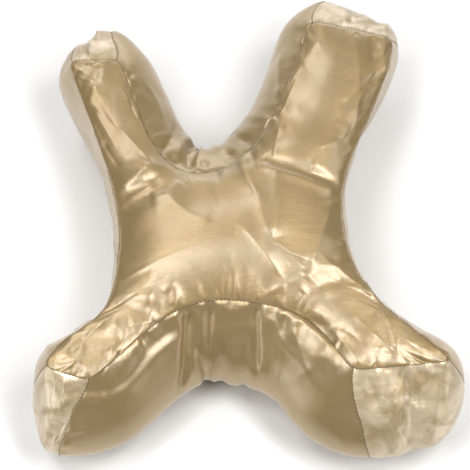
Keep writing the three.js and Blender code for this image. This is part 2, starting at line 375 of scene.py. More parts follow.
def seam_slides(at, s):
    """Places of the rows at a share of the wall's height: they lean with the upright seams."""
    slid = at.copy()
    for place, middle, foot in SEAM_SLIDES:
        slide = middle * (1 - abs(2 * s - 1)) + foot * max(0, 1 - 2 * s)
        slid += slide * bell((at - place) / SLIDE_HALF)
    return slid


def wall_facing(seam, at):
    """Direction in which each row's wall swells, which turns more softly in the hollows."""
    edge = np.roll(seam, -1, 0) - np.roll(seam, 1, 0)
    facing = unit_rows(np.stack([edge[:, 1], -edge[:, 0]], 1))
    sharp = unit_rows(even_out(facing, LIMB_EVENING))
    soft = unit_rows(even_out(facing, HOLLOW_EVENING))
    from_hollow = np.abs(at - np.round(at / SECTOR) * SECTOR)
    away = smooth_step(from_hollow, *HOLLOW_BAND)[:, None]
    return unit_rows(soft + (sharp - soft) * away)


def top_panel(seam, crown):
    """Rings of the top panel from the crown line to the seam: a film pressed up, with folds."""
    steps = 1 - (1 - np.linspace(0, 1, TOP_RINGS)) ** TOP_CLOSING
    plan = crown + (seam - crown) * steps[:, None, None]
    same = crown_line_merge(plan)
    triangles = quads_to_triangles(strip_quads(TOP_RINGS, len(seam), same))
    held = np.arange(len(same)) >= TOP_SEAM * len(seam)
    film = film_heights(plan.reshape(-1, 2), triangles, held)[same].reshape(plan.shape[:2])
    rise = CROWN * (np.maximum(film, 0) / film.max()) ** CROWN_POWER
    rise += fold_rise(plan) * (1 - steps[:, None] ** FOLD_FADE)
    return np.concatenate([plan, (SEAM_TOP + rise)[..., None]], -1)


def pillow_grid():
    """The smooth form: rings from the crown line over the wall to the flat, by rows round it."""
    seam, crown, at = seam_rows()
    swell, foot = wall_tables(at)
    out = wall_facing(seam, at)
    spread = unit_rows(seam - crown)
    pleats = sum(depth * bell((at - place) / half) for place, half, depth in PLEATS)
    even = np.linspace(0, 1, WALL_RINGS + 1)
    closing = 0.5 - 0.5 * np.cos(even * math.pi)
    wall_steps = 1 - ((1 - WALL_CLOSING) * even + WALL_CLOSING * closing)[1:]
    bend = math.log(0.5) / np.log(WIDEST + WIDEST_LEAN * out[:, 1])
    rings = [top_panel(seam, crown)]
    for s in wall_steps:
        belly = np.sin(math.pi * s ** bend).clip(0) ** BELLY_POWER
        place = seam + out * (swell * belly - pleats * np.sqrt(belly))[:, None]
        place += spread * (foot * (1 - s))[:, None]
        place = taken_at(place, at, seam_slides(at, s))
        rings.append(at_height(place, SEAM_LOW + (SEAM_TOP - SEAM_LOW) * s))
    for t in np.linspace(1, FLAT_SHARE, UNDER_RINGS + 1)[1:]:
        place = taken_at(crown + (seam + spread * foot[:, None] - crown) * t, at, seam_slides(at, 0))
        share = (t - FLAT_SHARE) / (1 - FLAT_SHARE)
        rings.append(at_height(place, SEAM_LOW * share * share))
    grid = np.concatenate(rings)
    grid[..., :2] -= PLAN_MIDDLE
    return grid, at


def respaced(grid, at, places):
    """The same form with rows at other places, on smooth curves through its own rows."""
    rows = len(at)
    index = np.interp(places, np.r_[at, WHOLE_ROUND], np.arange(rows + 1))
    first = index.astype(int)
    t = (index - first)[:, None]
    before, here, after, beyond = (grid[:, (first + k) % rows] for k in (-1, 0, 1, 2))
    result = curve(before, here, after, beyond, t)
    result[0] = here[0] + (after[0] - here[0]) * t
    return result


def seam_rings(grid):
    """Rings of the top and the low seam, in the coarse grid or in the fine one."""
    low = len(grid) - UNDER_RINGS - 1
    return low * TOP_SEAM // LOW_SEAM, low


def upright_rows(at):
    """Rows that follow the upright seams of the limb ends."""
    places = [limb * SECTOR + place for limb in range(len(LIMBS)) for place in UPRIGHT_SEAMS]
    return [int(np.argmin(np.abs(at - place))) for place in places]


def edge_pairs(mesh):
    pairs = np.empty(len(mesh.edges) * 2, int)
    mesh.edges.foreach_get("vertices", pairs)
    return pairs.reshape(-1, 2)


def sewn_edges(mesh, used, grid, at):
    """Which edges of the grid's mesh lie on a seam."""
    top, low = seam_rings(grid)
    ring, row = np.divmod(used[edge_pairs(mesh)], grid.shape[1])
    level = (ring[:, 0] == ring[:, 1]) & np.isin(ring[:, 0], (top, low))
    upright = (row[:, 0] == row[:, 1]) & np.isin(row[:, 0], upright_rows(at))
    upright &= (ring >= top).all(1) & (ring <= low).all(1)
    return level | upright


def build_mesh(name, grid, at):
    """A closed mesh of the grid, with a uv map that follows the cloth and sharp edges at the seams."""
    same = crown_line_merge(grid)
    rings, rows = grid.shape[:2]
    top, low = seam_rings(grid)
    quads = strip_quads(rings, rows, same)
    last_ring = np.arange((rings - 1) * rows, rings * rows)
    used, packed = np.unique(np.concatenate([quads.ravel(), last_ring]), return_inverse=True)
    points = grid.reshape(-1, 3)[used] / METRE
    wrapped = np.concatenate([grid[top:], grid[top:, :1]], 1) / METRE
    run, drop = lengths(wrapped[0]), -lengths(wrapped)
    local = (at + np.r_[at[1:], WHOLE_ROUND]) / 2 % SECTOR
    crosswise = (local > UPRIGHT_SEAMS[0]) & (local < UPRIGHT_SEAMS[1])
    faces, places, across = [], [], []
    for number, quad in enumerate(packed[: quads.size].reshape(-1, 4).tolist()):
        ring, row = divmod(number, rows)
        corners = ((ring, row), (ring + 1, row), (ring + 1, row + 1), (ring, row + 1))
        kept = [k for k in range(4) if quad[k] not in quad[:k]]
        if len(kept) < 3:
            continue
        faces.append([quad[k] for k in kept])
        across.append(float(crosswise[row] and top <= ring < low))
        for k in kept:
            j, i = corners[k]
            if ring < top:
                places.append(points[quad[k], :2])
            elif crosswise[row] or ring >= low:
                places.append((run[i], drop[j - top, i]))
            else:
                places.append((-drop[j - top, i], run[i]))
    flat = packed[quads.size:][::-1].tolist()
    faces.append(flat)
    places += list(points[flat, :2])
    across.append(0.0)
    mesh = bpy.data.meshes.new(name)
    mesh.from_pydata(points.tolist(), [], faces, shade_flat=False)
    layer = mesh.uv_layers.new(name="cloth")
    layer.data.foreach_set("uv", np.array(places, float).ravel())
    # Marks the end pieces, cut across the weave, on which the satin's colour carries painted sheen.
    mesh.attributes.new("crosswise", "FLOAT", "FACE").data.foreach_set("value", across)
    sharp = sewn_edges(mesh, used, grid, at)
    mesh.attributes.new("sharp_edge", "BOOLEAN", "EDGE").data.foreach_set("value", sharp)
    mesh.update()
    return mesh


# Creases of the top panel: kind, half width, rise, then places x, y on the plan.
TOP_CREASES = [
    ("crease", 10, 2.2, (-148, 144), (-131, 128), (-113, 110), (-86, 81), (-73, 60), (-63, 44)),
    ("crease", 5, 1.2, (-63, 33), (-42, 13), (-21, 3)),
    ("crease", 8, 2.4, (-110, 25), (-92, 36), (-74, 47)),
    ("crease", 8, 2.6, (-108, 46), (-94, 53), (-78, 68)),
    ("crease", 7, 1.8, (-79, 31), (-64, 35), (-50, 51)),
    ("trough", 5, 1.6, (-106, 37), (-85, 48), (-65, 59)),
    ("ridge", 8, 1.2, (-136, 142), (-130, 154), (-128, 168), (-130, 180)),
    ("fold", 5, 2, (98, 43), (91, 47), (76, 52), (57, 58), (37, 65), (23, 71)),
    ("ridge", 7, 1.2, (70, 67), (85, 60), (99, 51)),
    ("crease", 16, 2.4, (118, 221), (118, 187), (120, 169), (118, 141), (113, 107)),
    ("crease", 5, 1.2, (47, 123), (42, 104), (39, 90), (37, 71)),
    ("ridge", 9, 1.2, (92, 229), (82, 202), (66, 180)),
    ("trough", 5, 1.4, (136, 211), (134, 180)),
    ("ridge", 5, 1.6, (146, 206), (146, 172)),
    ("crease", 9, 2, (7, 70), (14, 48), (23, 25), (29, 1), (36, -14)),
    ("crease", 9, 2, (39, 62), (38, 22), (36, -13)),
    ("crease", 5, 1.2, (36, -14), (49, -24), (68, -31)),
    ("crease", 9, 2.2, (90, 26), (80, -2), (73, -24), (68, -40)),
    ("crease", 7, 1.8, (68, -40), (61, -47), (43, -54), (25, -63)),
    ("crease", 5, 1.2, (5, 2), (27, -25), (43, -47)),
    ("crease", 8, 1.8, (101, -36), (79, -36), (63, -49)),
    ("trough", 6, 1.6, (101, -48), (82, -52), (63, -62)),
    ("ridge", 5, 1.2, (-65, -60), (-58, -54), (-54, -64), (-58, -72)),
    ("fold", 6, 1.2, (-114, -63), (-95, -67), (-74, -72)),
    ("fold", 8, 1.2, (-140, -99), (-118, -97), (-102, -92)),
    ("crease", 10, 1.8, (131, -74), (141, -92), (146, -116)),
    ("crease", 10, 1.8, (151, -82), (148, -105), (146, -120)),
    ("crease", 6, 0.9, (103, -77), (119, -93), (135, -108), (145, -118)),
    ("trough", 8, 3, (60, -80), (77, -93), (91, -109)),
    ("crease", 8, 1.6, (87, -93), (97, -106), (105, -116), (114, -128)),
]
# Creases of the walls: kind, half width, rise, then places round the outline and up the wall.
WALL_CREASES = [
    ("ridge", 4, 0.8, (4.83, 0.89), (4.72, 0.83), (4.56, 0.86)),
    ("trough", 4, 5, (4.3, 0.6), (4.22, 0.8), (4.09, 0.97)),
    ("ridge", 6, 3, (4.4, 0.62), (4.33, 0.82), (4.2, 0.97)),
    ("trough", 4, 3, (3.8, 0.65), (3.82, 0.97)),
    ("trough", 4, 2.5, (3.66, 0.65), (3.7, 0.97)),
    ("trough", 4, 3.5, (3.96, 0.65), (3.98, 0.97)),
    ("ridge", 4, 0.8, (3.2, 0.8), (3.4, 0.97)),
    ("trough", 5, 2, (2.02, 0.75), (2.08, 0.97)),
    ("trough", 4, 5, (11.72, 0.99), (11.61, 0.79), (11.47, 0.5)),
    ("trough", 4, 4, (11.86, 0.99), (11.81, 0.79), (11.75, 0.41)),
    ("trough", 4, 3, (12.17, 0.99), (12.22, 0.83), (12.28, 0.6)),
    ("crease", 8, 0.8, (11.58, 0.75), (11.94, 0.68), (12.28, 0.7)),
    ("crease", 6, 0.8, (11.7, 0.91), (11.89, 0.94), (12.14, 0.96)),
    ("fold", 5, -0.7, (11.04, 0.86), (11.14, 0.86), (11.22, 0.86), (11.31, 0.88), (11.42, 0.9), (11.6, 0.9)),
    ("crease", 6, 0.7, (11.16, 0.79), (11.28, 0.75), (11.39, 0.75), (11.58, 0.75)),
    ("crease", 9, 1.6, (12.25, 0.95), (12.36, 0.92), (12.47, 0.86), (12.64, 0.83), (12.86, 0.82)),
    ("crease", 8, 1.6, (12.5, 0.95), (12.69, 0.86), (12.86, 0.82)),
    ("ridge", 8, 1.4, (12.62, 0.92), (12.76, 0.9), (12.87, 0.95), (13, 0.94)),
    ("fold", 6, -1, (10.84, 0.9), (10.97, 0.9), (11.06, 0.87)),
    ("crease", 5, -3, (14.02, 0.99), (14.06, 0.89), (14.06, 0.79), (14.06, 0.63), (13.94, 0.42)),
    ("crease", 5, 2.4, (14.06, 0.79), (13.71, 0.75), (13.48, 0.67)),
    ("crease", 5, 2.4, (14.06, 0.79), (14.29, 0.75)),
    ("ridge", 5, 1, (13.27, 0.96), (13.25, 0.86), (13.25, 0.72)),
    ("ridge", 3, 1, (10.9, 0.66), (10.96, 0.66), (11.02, 0.68)),
    ("ridge", 3, 1.1, (10.9, 0.52), (10.96, 0.53), (11.03, 0.55)),
    ("ridge", 3, 1, (10.9, 0.4), (10.96, 0.41), (11.02, 0.44)),
]
# Gathers along the seams: panel, places round the outline from and to, pitch, length, height.
GATHERS = [
    ("top", 0, 16, 8, 10, 0.6),
    ("top", 7.5, 8.8, 9, 48, 0.6),
    ("top", 3.4, 4.6, 7, 17, 1),
    ("top", 11.75, 12.3, 7, 17, 0.9),
    ("top", 14.05, 14.8, 9, 13, 1.4),
    ("top", 9.5, 10.7, 6, 9, 0.6),
    ("top", 15.2, 16, 8, 20, 0.5),
    ("top", 0, 0.6, 9, 22, 0.4),
    ("wall", 0, 16, 8, 11, 0.7),
    ("wall", 3, 3.7, 11, 20, 1),
    ("wall", 3.5, 4.5, 12, 38, 1.2),
    ("wall", 11.2, 11.7, 7, 11, 0.7),
    ("wall", 12.2, 12.85, 9, 18, 1),
    ("wall", 13.3, 14.7, 12, 13, 0.7),
    ("foot", 0, 16, 11, 16, 0.8),
]
# Fine creases strewn at random: panel, places round from and to, number, half width, length, rise.
STREWN = [
    ("wall", 1.3, 2.7, 26, 4, 30, 1),
    ("wall", 5.3, 6.7, 22, 4, 26, 1),
    ("wall", 9.3, 10.7, 36, 4, 30, 1.1),
    ("wall", 13.3, 14.7, 40, 4, 36, 1.1),
    ("wall", 2.9, 5.1, 24, 5, 40, 0.6),
    ("wall", 10.9, 13.1, 18, 6, 50, 0.5),
    ("wall", 6.9, 9.1, 30, 5, 44, 1.1),
    ("wall", 14.9, 15.9, 15, 5, 44, 1.1),
    ("wall", 0.1, 1.1, 15, 5, 44, 1.1),
    ("top", 0.4, 1.05, 12, 4, 50, 0.6),
    ("top", 1.3, 2.7, 4, 5, 24, 0.6),
    ("top", 2.95, 3.6, 12, 4, 50, 0.6),
    ("top", 4.4, 5.05, 12, 4, 40, 0.8),
    ("top", 5.3, 6.7, 2, 5, 20, 0.6),
    ("top", 6.95, 7.6, 16, 4, 40, 0.9),
    ("top", 8.4, 9.05, 8, 5, 36, 0.6),
    ("top", 9.3, 10.7, 3, 5, 20, 0.6),
    ("top", 10.95, 11.6, 8, 5, 36, 0.6),
    ("top", 12.4, 13.05, 9, 5, 40, 0.6),
    ("top", 13.3, 14.7, 4, 5, 26, 0.6),
    ("top", 14.95, 15.6, 9, 5, 40, 0.6),
]

# Creases: reach in half widths, how blunt and how hollow, share that fades, rise left at the ends.
CREASE_REACH = 4
CREASE_BLUNT = 0.0004
CREASE_HOLLOW = 0.38
CREASE_FADE = 0.16
CREASE_LEFT = 0.25
# Strewn creases: first ring, shares of their length and half width, wobble in rings.
STREWN_FIRST_RING = 14
STREWN_REACH = (0.3, 0.8)
STREWN_HALF = (0.7, 1.4)
STREWN_WOBBLE = 0.5
# Gathers: shares of their pitch and length, slant, how they start and fade.
GATHER_STEP = (0.5, 1.5)
GATHER_HALF = (0.3, 0.55)
GATHER_REACH = (0.4, 1.5)
GATHER_SLANT = 0.25
GATHER_START = 2.0
GATHER_FADE = 1.6
# Rings over which gathers set in, and heights over which all relief does.
CROWN_FADE = 8
FLOOR_FADE = (2, 20)

# Settled cloth: frames, size of its even mesh in metres, share of spare cloth.
SIMULATED_FRAMES = 20
SIM_VOXEL = 0.005
SPARE_CLOTH = 0.012
# Distances from a seam and heights over which the cloth comes free, and the least hold that counts.
SEAM_HELD = (2.5, 7.5)
FLOOR_HELD = (4, 14)
LEAST_HELD = 0.02
# Random nudge at the start, most that a point moves, and how the moves are evened out and kept.
NUDGE = 0.25
MOST_MOVE = 6.0
SIM_EVENING = 3
NEIGHBOURS = 6
SETTLED_SHARE = 0.4
# Grooves at the seams: depth, half width and reach.
SEAM_DEPTH = 0.8
SEAM_HALF = 1.5
SEAM_REACH = 16
# Steps of a crease's path, and where all random draws start.
PATH_STEP = 3.0
SEED = 11


def grid_normals(grid):
    """Normals at the grid's points, from the triangles that meet there."""
    same = crown_line_merge(grid)
    triangles = quads_to_triangles(strip_quads(*grid.shape[:2], same))
    points = grid.reshape(-1, 3)
    a, b, c = (points[triangles[:, k]] for k in range(3))
    face = np.tile(np.cross(b - a, c - a), (3, 1))
    met = triangles.T.ravel()
    total = np.stack([np.bincount(met, face[:, axis], len(points)) for axis in range(3)], 1)
    size = norm(total, axis=1)
    normals = (total / np.where(size > 0, size, 1)[:, None])[same].reshape(grid.shape)
    normals[-1] = (0, 0, -1)
    return normals


def seam_lines(grid, at):
    """The sewn lines: the top and the low seam, closed, and the upright seams of the limb ends."""
    top, low = seam_rings(grid)
    return [closed(grid[top]), closed(grid[low]), *(grid[top:low + 1, row] for row in upright_rows(at))]


def tree_of(points):
    tree = KDTree(len(points))
    for k, p in enumerate(points):
        tree.insert(p, k)
    tree.balance()
    return tree


def held_shares(points, grid, at):
    """How firmly each point is held by a seam or by the floor: 1 on it and 0 away from it."""
    tree = tree_of(np.concatenate(seam_lines(grid, at)))
    distance = np.array([tree.find(p)[2] for p in points])
    sewn = 1 - smooth_step(distance, *SEAM_HELD)
    return np.maximum(sewn, 1 - smooth_step(points[:, 2], *FLOOR_HELD))


def even_over_edges(values, mesh, times):
    """Values at a mesh's points, evened out with those next to them."""
    i, j = edge_pairs(mesh).T
    both, other = np.r_[i, j], np.r_[j, i]
    count = np.bincount(both, minlength=len(values))[:, None]
    for _ in range(times):
        sums = np.stack([np.bincount(both, values[other, k], len(values)) for k in range(3)], 1)
        values = (values + sums / np.maximum(count, 1)) / 2
    return values


def scene_object(name, data):
    item = bpy.data.objects.new(name, data)
    scene.collection.objects.link(item)
    return item


def evaluated(item):
    return item.evaluated_get(bpy.context.evaluated_depsgraph_get())


def mesh_points(mesh):
    """Places of a mesh's points, in millimetres."""
    places = np.empty(len(mesh.vertices) * 3)
    mesh.vertices.foreach_get("co", places)
    return places.reshape(-1, 3) * METRE


def trial_cover(grid, at):
    """The cover as an object with an even mesh, on which the cloth can settle."""
    trial = scene_object("trial_cover", build_mesh("trial_cover", grid, at))
    remesh = trial.modifiers.new("even_mesh", "REMESH")
    remesh.mode = "VOXEL"
    remesh.voxel_size = SIM_VOXEL
    even = bpy.data.meshes.new_from_object(evaluated(trial))
    trial.modifiers.clear()
    trial.data = even
    return trial


def add_cloth(trial, shares):
    """Cloth with some to spare, sewn down where it is held and blown up by its filling."""
    group = trial.vertex_groups.new(name="held")
    for k in np.flatnonzero(shares > LEAST_HELD):
        group.add([int(k)], float(shares[k]), "REPLACE")
    cloth = trial.modifiers.new("cloth", "CLOTH")
    settings = cloth.settings
    settings.quality = 6
    settings.mass = 0.15
    settings.tension_stiffness = 25
    settings.compression_stiffness = 25
    settings.shear_stiffness = 8
    settings.bending_stiffness = 2
    settings.vertex_group_mass = group.name
    settings.shrink_min = -SPARE_CLOTH
    settings.use_pressure = True
    settings.uniform_pressure_force = 2
    settings.effector_weights.gravity = 0
    cloth.collision_settings.use_collision = False
    cloth.point_cache.frame_start = 1
    cloth.point_cache.frame_end = SIMULATED_FRAMES


def settle_cloth(grid, at):
    """How each point of the grid moves when the cover settles between its seams."""
    trial = trial_cover(grid, at)
    start = mesh_points(trial.data)
    shares = held_shares(start, grid, at)
    random = np.random.default_rng(SEED)
    nudged = start + random.normal(0, NUDGE, start.shape) * (1 - shares)[:, None]
    trial.data.vertices.foreach_set("co", (nudged / METRE).ravel())
    add_cloth(trial, shares)
    for step in range(1, SIMULATED_FRAMES + 1):
        scene.frame_set(step)
    move = mesh_points(evaluated(trial).data) - start
    scene.frame_set(1)
    size = norm(move, axis=1)[:, None]
    move *= np.minimum(1, MOST_MOVE / np.maximum(size, 1e-9))
    move = even_over_edges(move, trial.data, SIM_EVENING)
    tree = tree_of(start)
    flat = grid.reshape(-1, 3)
    result = np.zeros_like(flat)
    for k, p in enumerate(flat):
        near = tree.find_n(p, NEIGHBOURS)
        weights = np.array([1 / (d * d + 1) for _, _, d in near])
        result[k] = weights @ move[[i for _, i, _ in near]] / weights.sum()
    bpy.data.objects.remove(trial)
    return result.reshape(grid.shape)


def halve_rows(grid):
    """Twice the rows: the new ones lie on a smooth curve through their neighbours."""
    after = np.roll(grid, -1, 1)
    middle = (9 * (grid + after) - np.roll(grid, 1, 1) - np.roll(grid, -2, 1)) / 16
    middle[0] = (grid[0] + after[0]) / 2
    return np.stack([grid, middle], 2).reshape(grid.shape[0], -1, *grid.shape[2:])


def halve_rings(panel):
    """Twice the rings of one panel, without reaching over its seams."""
    middle = np.empty_like(panel[:-1])
    middle[1:-1] = (9 * (panel[1:-2] + panel[2:-1]) - panel[:-3] - panel[3:]) / 16
    middle[0] = (5 * panel[0] + 15 * panel[1] - 5 * panel[2] + panel[3]) / 16
    middle[-1] = (5 * panel[-1] + 15 * panel[-2] - 5 * panel[-3] + panel[-4]) / 16
    fine = np.empty((2 * len(panel) - 1, *panel.shape[1:]))
    fine[0::2] = panel
    fine[1::2] = middle
    return fine


def finer_grid(grid):
    """Twice the rows, and twice the rings of the top panel and the wall."""
    wide = halve_rows(grid)
    upper, wall = halve_rings(wide[:TOP_SEAM + 1]), halve_rings(wide[TOP_SEAM:LOW_SEAM + 1])
    return np.concatenate([upper, wall[1:], wide[LOW_SEAM + 1:]])


def smooth_path(points):
    """A curve through a few points, as many short straight steps."""
    points = np.array(points)
    ends = np.concatenate([[2 * points[0] - points[1]], points, [2 * points[-1] - points[-2]]])
    path = [points[:1]]
    for a, b, c, d in zip(ends[:-3], ends[1:-2], ends[2:-1], ends[3:]):
        steps = max(2, int(norm(c - b) / PATH_STEP))
        t = (np.arange(steps) + 1)[:, None] / steps
        path.append(curve(a, b, c, d, t))
    return np.concatenate(path)


def near_box(points, others, reach):
    """Which points lie within reach of the box round some others."""
    return np.flatnonzero(((points > others.min(0) - reach) & (points < others.max(0) + reach)).all(1))


def crease_rise(points, normals, kind, half, rise, path):
    """How far one crease lifts each point: its profile across, fading out at both ends."""
    near = near_box(points, path, CREASE_REACH * half)
    p = points[near]
    run = lengths(path)
    best = np.full(len(near), np.inf)
    side = np.zeros(len(near))
    place = np.zeros(len(near))
    for k in range(len(path) - 1):
        distance, share = segment_distance(p, path[k], path[k + 1])
        closer = distance < best
        best = np.minimum(best, distance)
        place = np.where(closer, run[k] + share * (run[k + 1] - run[k]), place)
        left = np.cross(normals[near], unit_rows(path[k + 1:k + 2] - path[k])[0])
        side = np.where(closer, ((p - path[k]) * left).sum(1) / half, side)
    x = best / half
    profile = {
        "crease": np.exp(-(x * x + CREASE_BLUNT) ** CREASE_HOLLOW),
        "fold": side * np.exp(0.5 - 0.5 * x * x),
        "ridge": bell(x),
        "trough": -bell(x),
    }[kind]
    end = CREASE_FADE * run[-1]
    fade = smooth_step(place, 0, end) * (1 - smooth_step(place, run[-1] - end, run[-1]))
    result = np.zeros(len(points))
    result[near] = rise * profile * (CREASE_LEFT + (1 - CREASE_LEFT) * fade)
    return result


def wall_place(grid, at, place, level):
    """Point of the wall at a place round the outline and a share of its height."""
    row = np.interp(place, np.r_[at, WHOLE_ROUND], np.arange(len(at) + 1))
    first = int(row) % len(at)
    second = (first + 1) % len(at)
    column = grid[:, first] + (grid[:, second] - grid[:, first]) * (row - int(row))
    height = SEAM_LOW + (SEAM_TOP - SEAM_LOW) * level
    wall = column[TOP_SEAM:LOW_SEAM + 1][::-1]
    return taken_at(wall, wall[:, 2], [height])[0]


def top_place(grid, place):
    """Point of the top panel over a place on the plan."""
    plan = np.subtract(place, PLAN_MIDDLE)
    top = grid[:TOP_RINGS].reshape(-1, 3)
    nearest = np.argsort(((top[:, :2] - plan) ** 2).sum(1))[:3]
    return np.r_[plan, top[nearest, 2].mean()]


def placed_creases(base, at, fine, normals, strewn):
    """How far the creases of the tables and the strewn ones lift the fine grid's points."""
    top, _ = seam_rings(fine)
    lift = np.zeros(fine.shape[:2])
    panels = {"top": slice(0, top + 1), "wall": slice(top + 1, None)}
    creases = [("top", *row[:3], smooth_path([top_place(base, q) for q in row[3:]])) for row in TOP_CREASES]
    creases += [("wall", *row[:3], smooth_path([wall_place(base, at, *q) for q in row[3:]]))
                for row in WALL_CREASES]
    for panel, kind, half, rise, path in creases + strewn:
        part = panels[panel]
        rises = crease_rise(fine[part].reshape(-1, 3), normals[part].reshape(-1, 3), kind, half, rise, path)
        lift[part] += rises.reshape(-1, fine.shape[1])
    return lift


def strewn_creases(fine, at, random):
    """Short creases at random places and headings: panel, kind, half width, rise, path."""
    top, low = seam_rings(fine)
    bands = {"top": (STREWN_FIRST_RING, top - 1), "wall": (top + 2, low - 4)}
    creases = []
    for panel, first, last, number, half, length, rise in STREWN:
        inner, outer = bands[panel]
        for _ in range(number):
            row = int(np.argmin(np.abs(at - random.uniform(first, last))))
            ring = int(random.integers(inner + 2, outer - 1))
            row_step = norm(fine[ring, row] - fine[ring, row - 1])
            ring_step = norm(fine[ring, row] - fine[ring - 1, row])
            turn = random.uniform(0, math.pi)
            reach = random.uniform(*STREWN_REACH) * length
            path = []
            for k in (-1, 0, 1):
                wobble = random.normal(0, STREWN_WOBBLE)
                i = row + round(k * reach * math.cos(turn) / max(row_step, 1))
                j = ring + round(k * reach * math.sin(turn) / max(ring_step, 1) + wobble)
                path.append(fine[np.clip(j, inner, outer), i % len(at)])
            width = half * random.uniform(*STREWN_HALF)
            creases.append((panel, "crease", width, rise * random.normal(), smooth_path(path)))
    return creases


def seam_gathers(fine, at, random):
    """Lift of puckers that run from the seams over the panels beside them."""
    top, low = seam_rings(fine)
    panels = {"top": slice(top, None, -1), "wall": slice(top, low), "foot": slice(low, top, -1)}
    lift = np.zeros(fine.shape[:2])
    for panel, first, last, pitch, length, height in GATHERS:
        part = fine[panels[panel]]
        run, away = lengths(part[0]), lengths(part)
        step = norm(np.roll(part, -1, 1) - part, axis=2)
        narrowing = np.minimum(1, step / step[0])
        place, end = np.interp((first, last), at, run)
        while place < end:
            place += random.uniform(*GATHER_STEP) * pitch
            half = random.uniform(*GATHER_HALF) * pitch
            reach = random.uniform(*GATHER_REACH) * length
            rise = random.normal(0, 1) * height
            slant = random.normal(0, GATHER_SLANT)
            near = np.flatnonzero(np.abs(run - place) < 4 * pitch + reach)
            x = (run - place)[near] - slant * away[:, near]
            profile = bell(x / half) * np.exp(-(away[:, near] / reach) ** GATHER_FADE)
            profile *= (1 - np.exp(-away[:, near] / GATHER_START)) * narrowing[:, near] ** 2
            lift[panels[panel]][:, near] += rise * profile
    return lift


def seam_grooves(fine, at):
    """How far the cover is pulled in at the sewn lines, less and less away from them."""
    points = fine.reshape(-1, 3)
    sink = np.zeros(len(points))
    for line in seam_lines(fine, at):
        best = np.full(len(points), np.inf)
        for k in range(len(line) - 1):
            near = near_box(points, line[k:k + 2], SEAM_REACH)
            distance, _ = segment_distance(points[near], line[k], line[k + 1])
            best[near] = np.minimum(best[near], distance)
        sink -= SEAM_DEPTH * np.exp(-best / SEAM_HALF)
    return sink.reshape(fine.shape[:2])


def sewn_cover():
    """The cover's fine grid: settled cloth, creases, gathers and grooves at the seams."""
    form, form_at = pillow_grid()
    at = outline_places(*COVER_ROWS)
    base = respaced(form, form_at, at)
    settled = base
    settled = base + SETTLED_SHARE * settle_cloth(base, at)
    fine = finer_grid(settled)
    fine_at = halve_rows(np.stack([at, at])[..., None])[0, :, 0]
    fine_at[-1] = (at[-1] + WHOLE_ROUND) / 2
    normals = grid_normals(fine)
    random = np.random.default_rng(SEED)
    lift = placed_creases(settled, at, fine, normals, strewn_creases(fine, fine_at, random))
    from_crown = np.minimum(1, np.arange(len(fine)) / CROWN_FADE)[:, None]
    lift += seam_gathers(fine, fine_at, random) * from_crown
    lift += seam_grooves(fine, fine_at)
    lift *= smooth_step(fine[..., 2], *FLOOR_FADE)
    return fine + normals * lift[..., None], fine_at


# Colours of the satin, which drifts from one to the other, and of the painted sheen in pale patches on its
# end pieces.
SATIN_DARK = (0.335, 0.228, 0.094)
SATIN_LIGHT = (0.385, 0.268, 0.12)
SATIN_PAINTED_SHEEN = (0.7, 0.575, 0.4, 1)
# Gloss of the satin: a weave that shines across its yarns, under a white coat.
SATIN_GLOSS = {
    "Metallic": 0.5,
    "Roughness": 0.42,
    "Specular Tint": (0.85, 0.74, 0.56, 1),
    "Anisotropic": 0.75,
    "Anisotropic Rotation": 0.25,
    "Coat Weight": 1.0,
    "Coat Roughness": 0.31,
    "Coat IOR": 1.75,
    "Sheen Weight": 0.05,
    "Sheen Roughness": 0.4,
    "Sheen Tint": (1, 0.92, 0.78, 1),
}
# Streaks and yarns to the metre on the cloth's two ways, and how far the facets are warped.
STREAKS = (45, 230, 1)
YARNS = (900, 160, 1)
FACET_SHIFT = (0.08, 0.08, 0.08)
# Sockets of a mix node for its two colours and their mixture.
MIX_FROM, MIX_TO, MIXTURE = 6, 7, 2
# Colours of the thread's strands, darker than the gold cloth: painted shade of the seam's gap.
THREAD_SEAM_SHADE_DARK = (0.11, 0.07, 0.033)
THREAD_SEAM_SHADE_LIGHT = (0.2, 0.135, 0.068)


def node_material(name):
    material = bpy.data.materials.new(name)
    material.use_nodes = True
    return material, material.node_tree


def set_inputs(tree, node, inputs):
    """Gives each input its value, or links it to the output of another node."""
    for name, value in inputs.items():
        if isinstance(value, bpy.types.NodeSocket):
            tree.links.new(value, node.inputs[name])
        else:
            node.inputs[name].default_value = value


def add_node(tree, kind, inputs, **settings):
    node = tree.nodes.new("ShaderNode" + kind)
    for name, value in settings.items():
        setattr(node, name, value)
    set_inputs(tree, node, inputs)
    return node


def noise(tree, vector, scale, detail, distortion=0.0):
    inputs = {"Vector": vector, "Scale": scale, "Detail": detail, "Distortion": distortion}
    return add_node(tree, "TexNoise", inputs)


def stretched(tree, vector, scale):
    return add_node(tree, "Mapping", {"Vector": vector, "Scale": scale}).outputs["Vector"]


def bump(tree, height, strength, distance, under=None):
    """The normal of a bump, which lies over that of another."""
    inputs = {"Height": height, "Strength": strength, "Distance": distance}
    if under is not None:
        inputs["Normal"] = under
    return add_node(tree, "Bump", inputs).outputs["Normal"]


def colour_ramp(tree, factor, low, high):
    """A ramp between two colours, each given with its position."""
    ramp = add_node(tree, "ValToRGB", {"Fac": factor})
    for element, (position, colour) in zip(ramp.color_ramp.elements, (low, high)):
        element.position = position
        element.color = (*colour, 1)
    return ramp.outputs["Color"]


def map_range(tree, value, span, to):
    inputs = {"Value": value, "From Min": span[0], "From Max": span[1], "To Min": to[0], "To Max": to[1]}
    return add_node(tree, "MapRange", inputs).outputs["Result"]


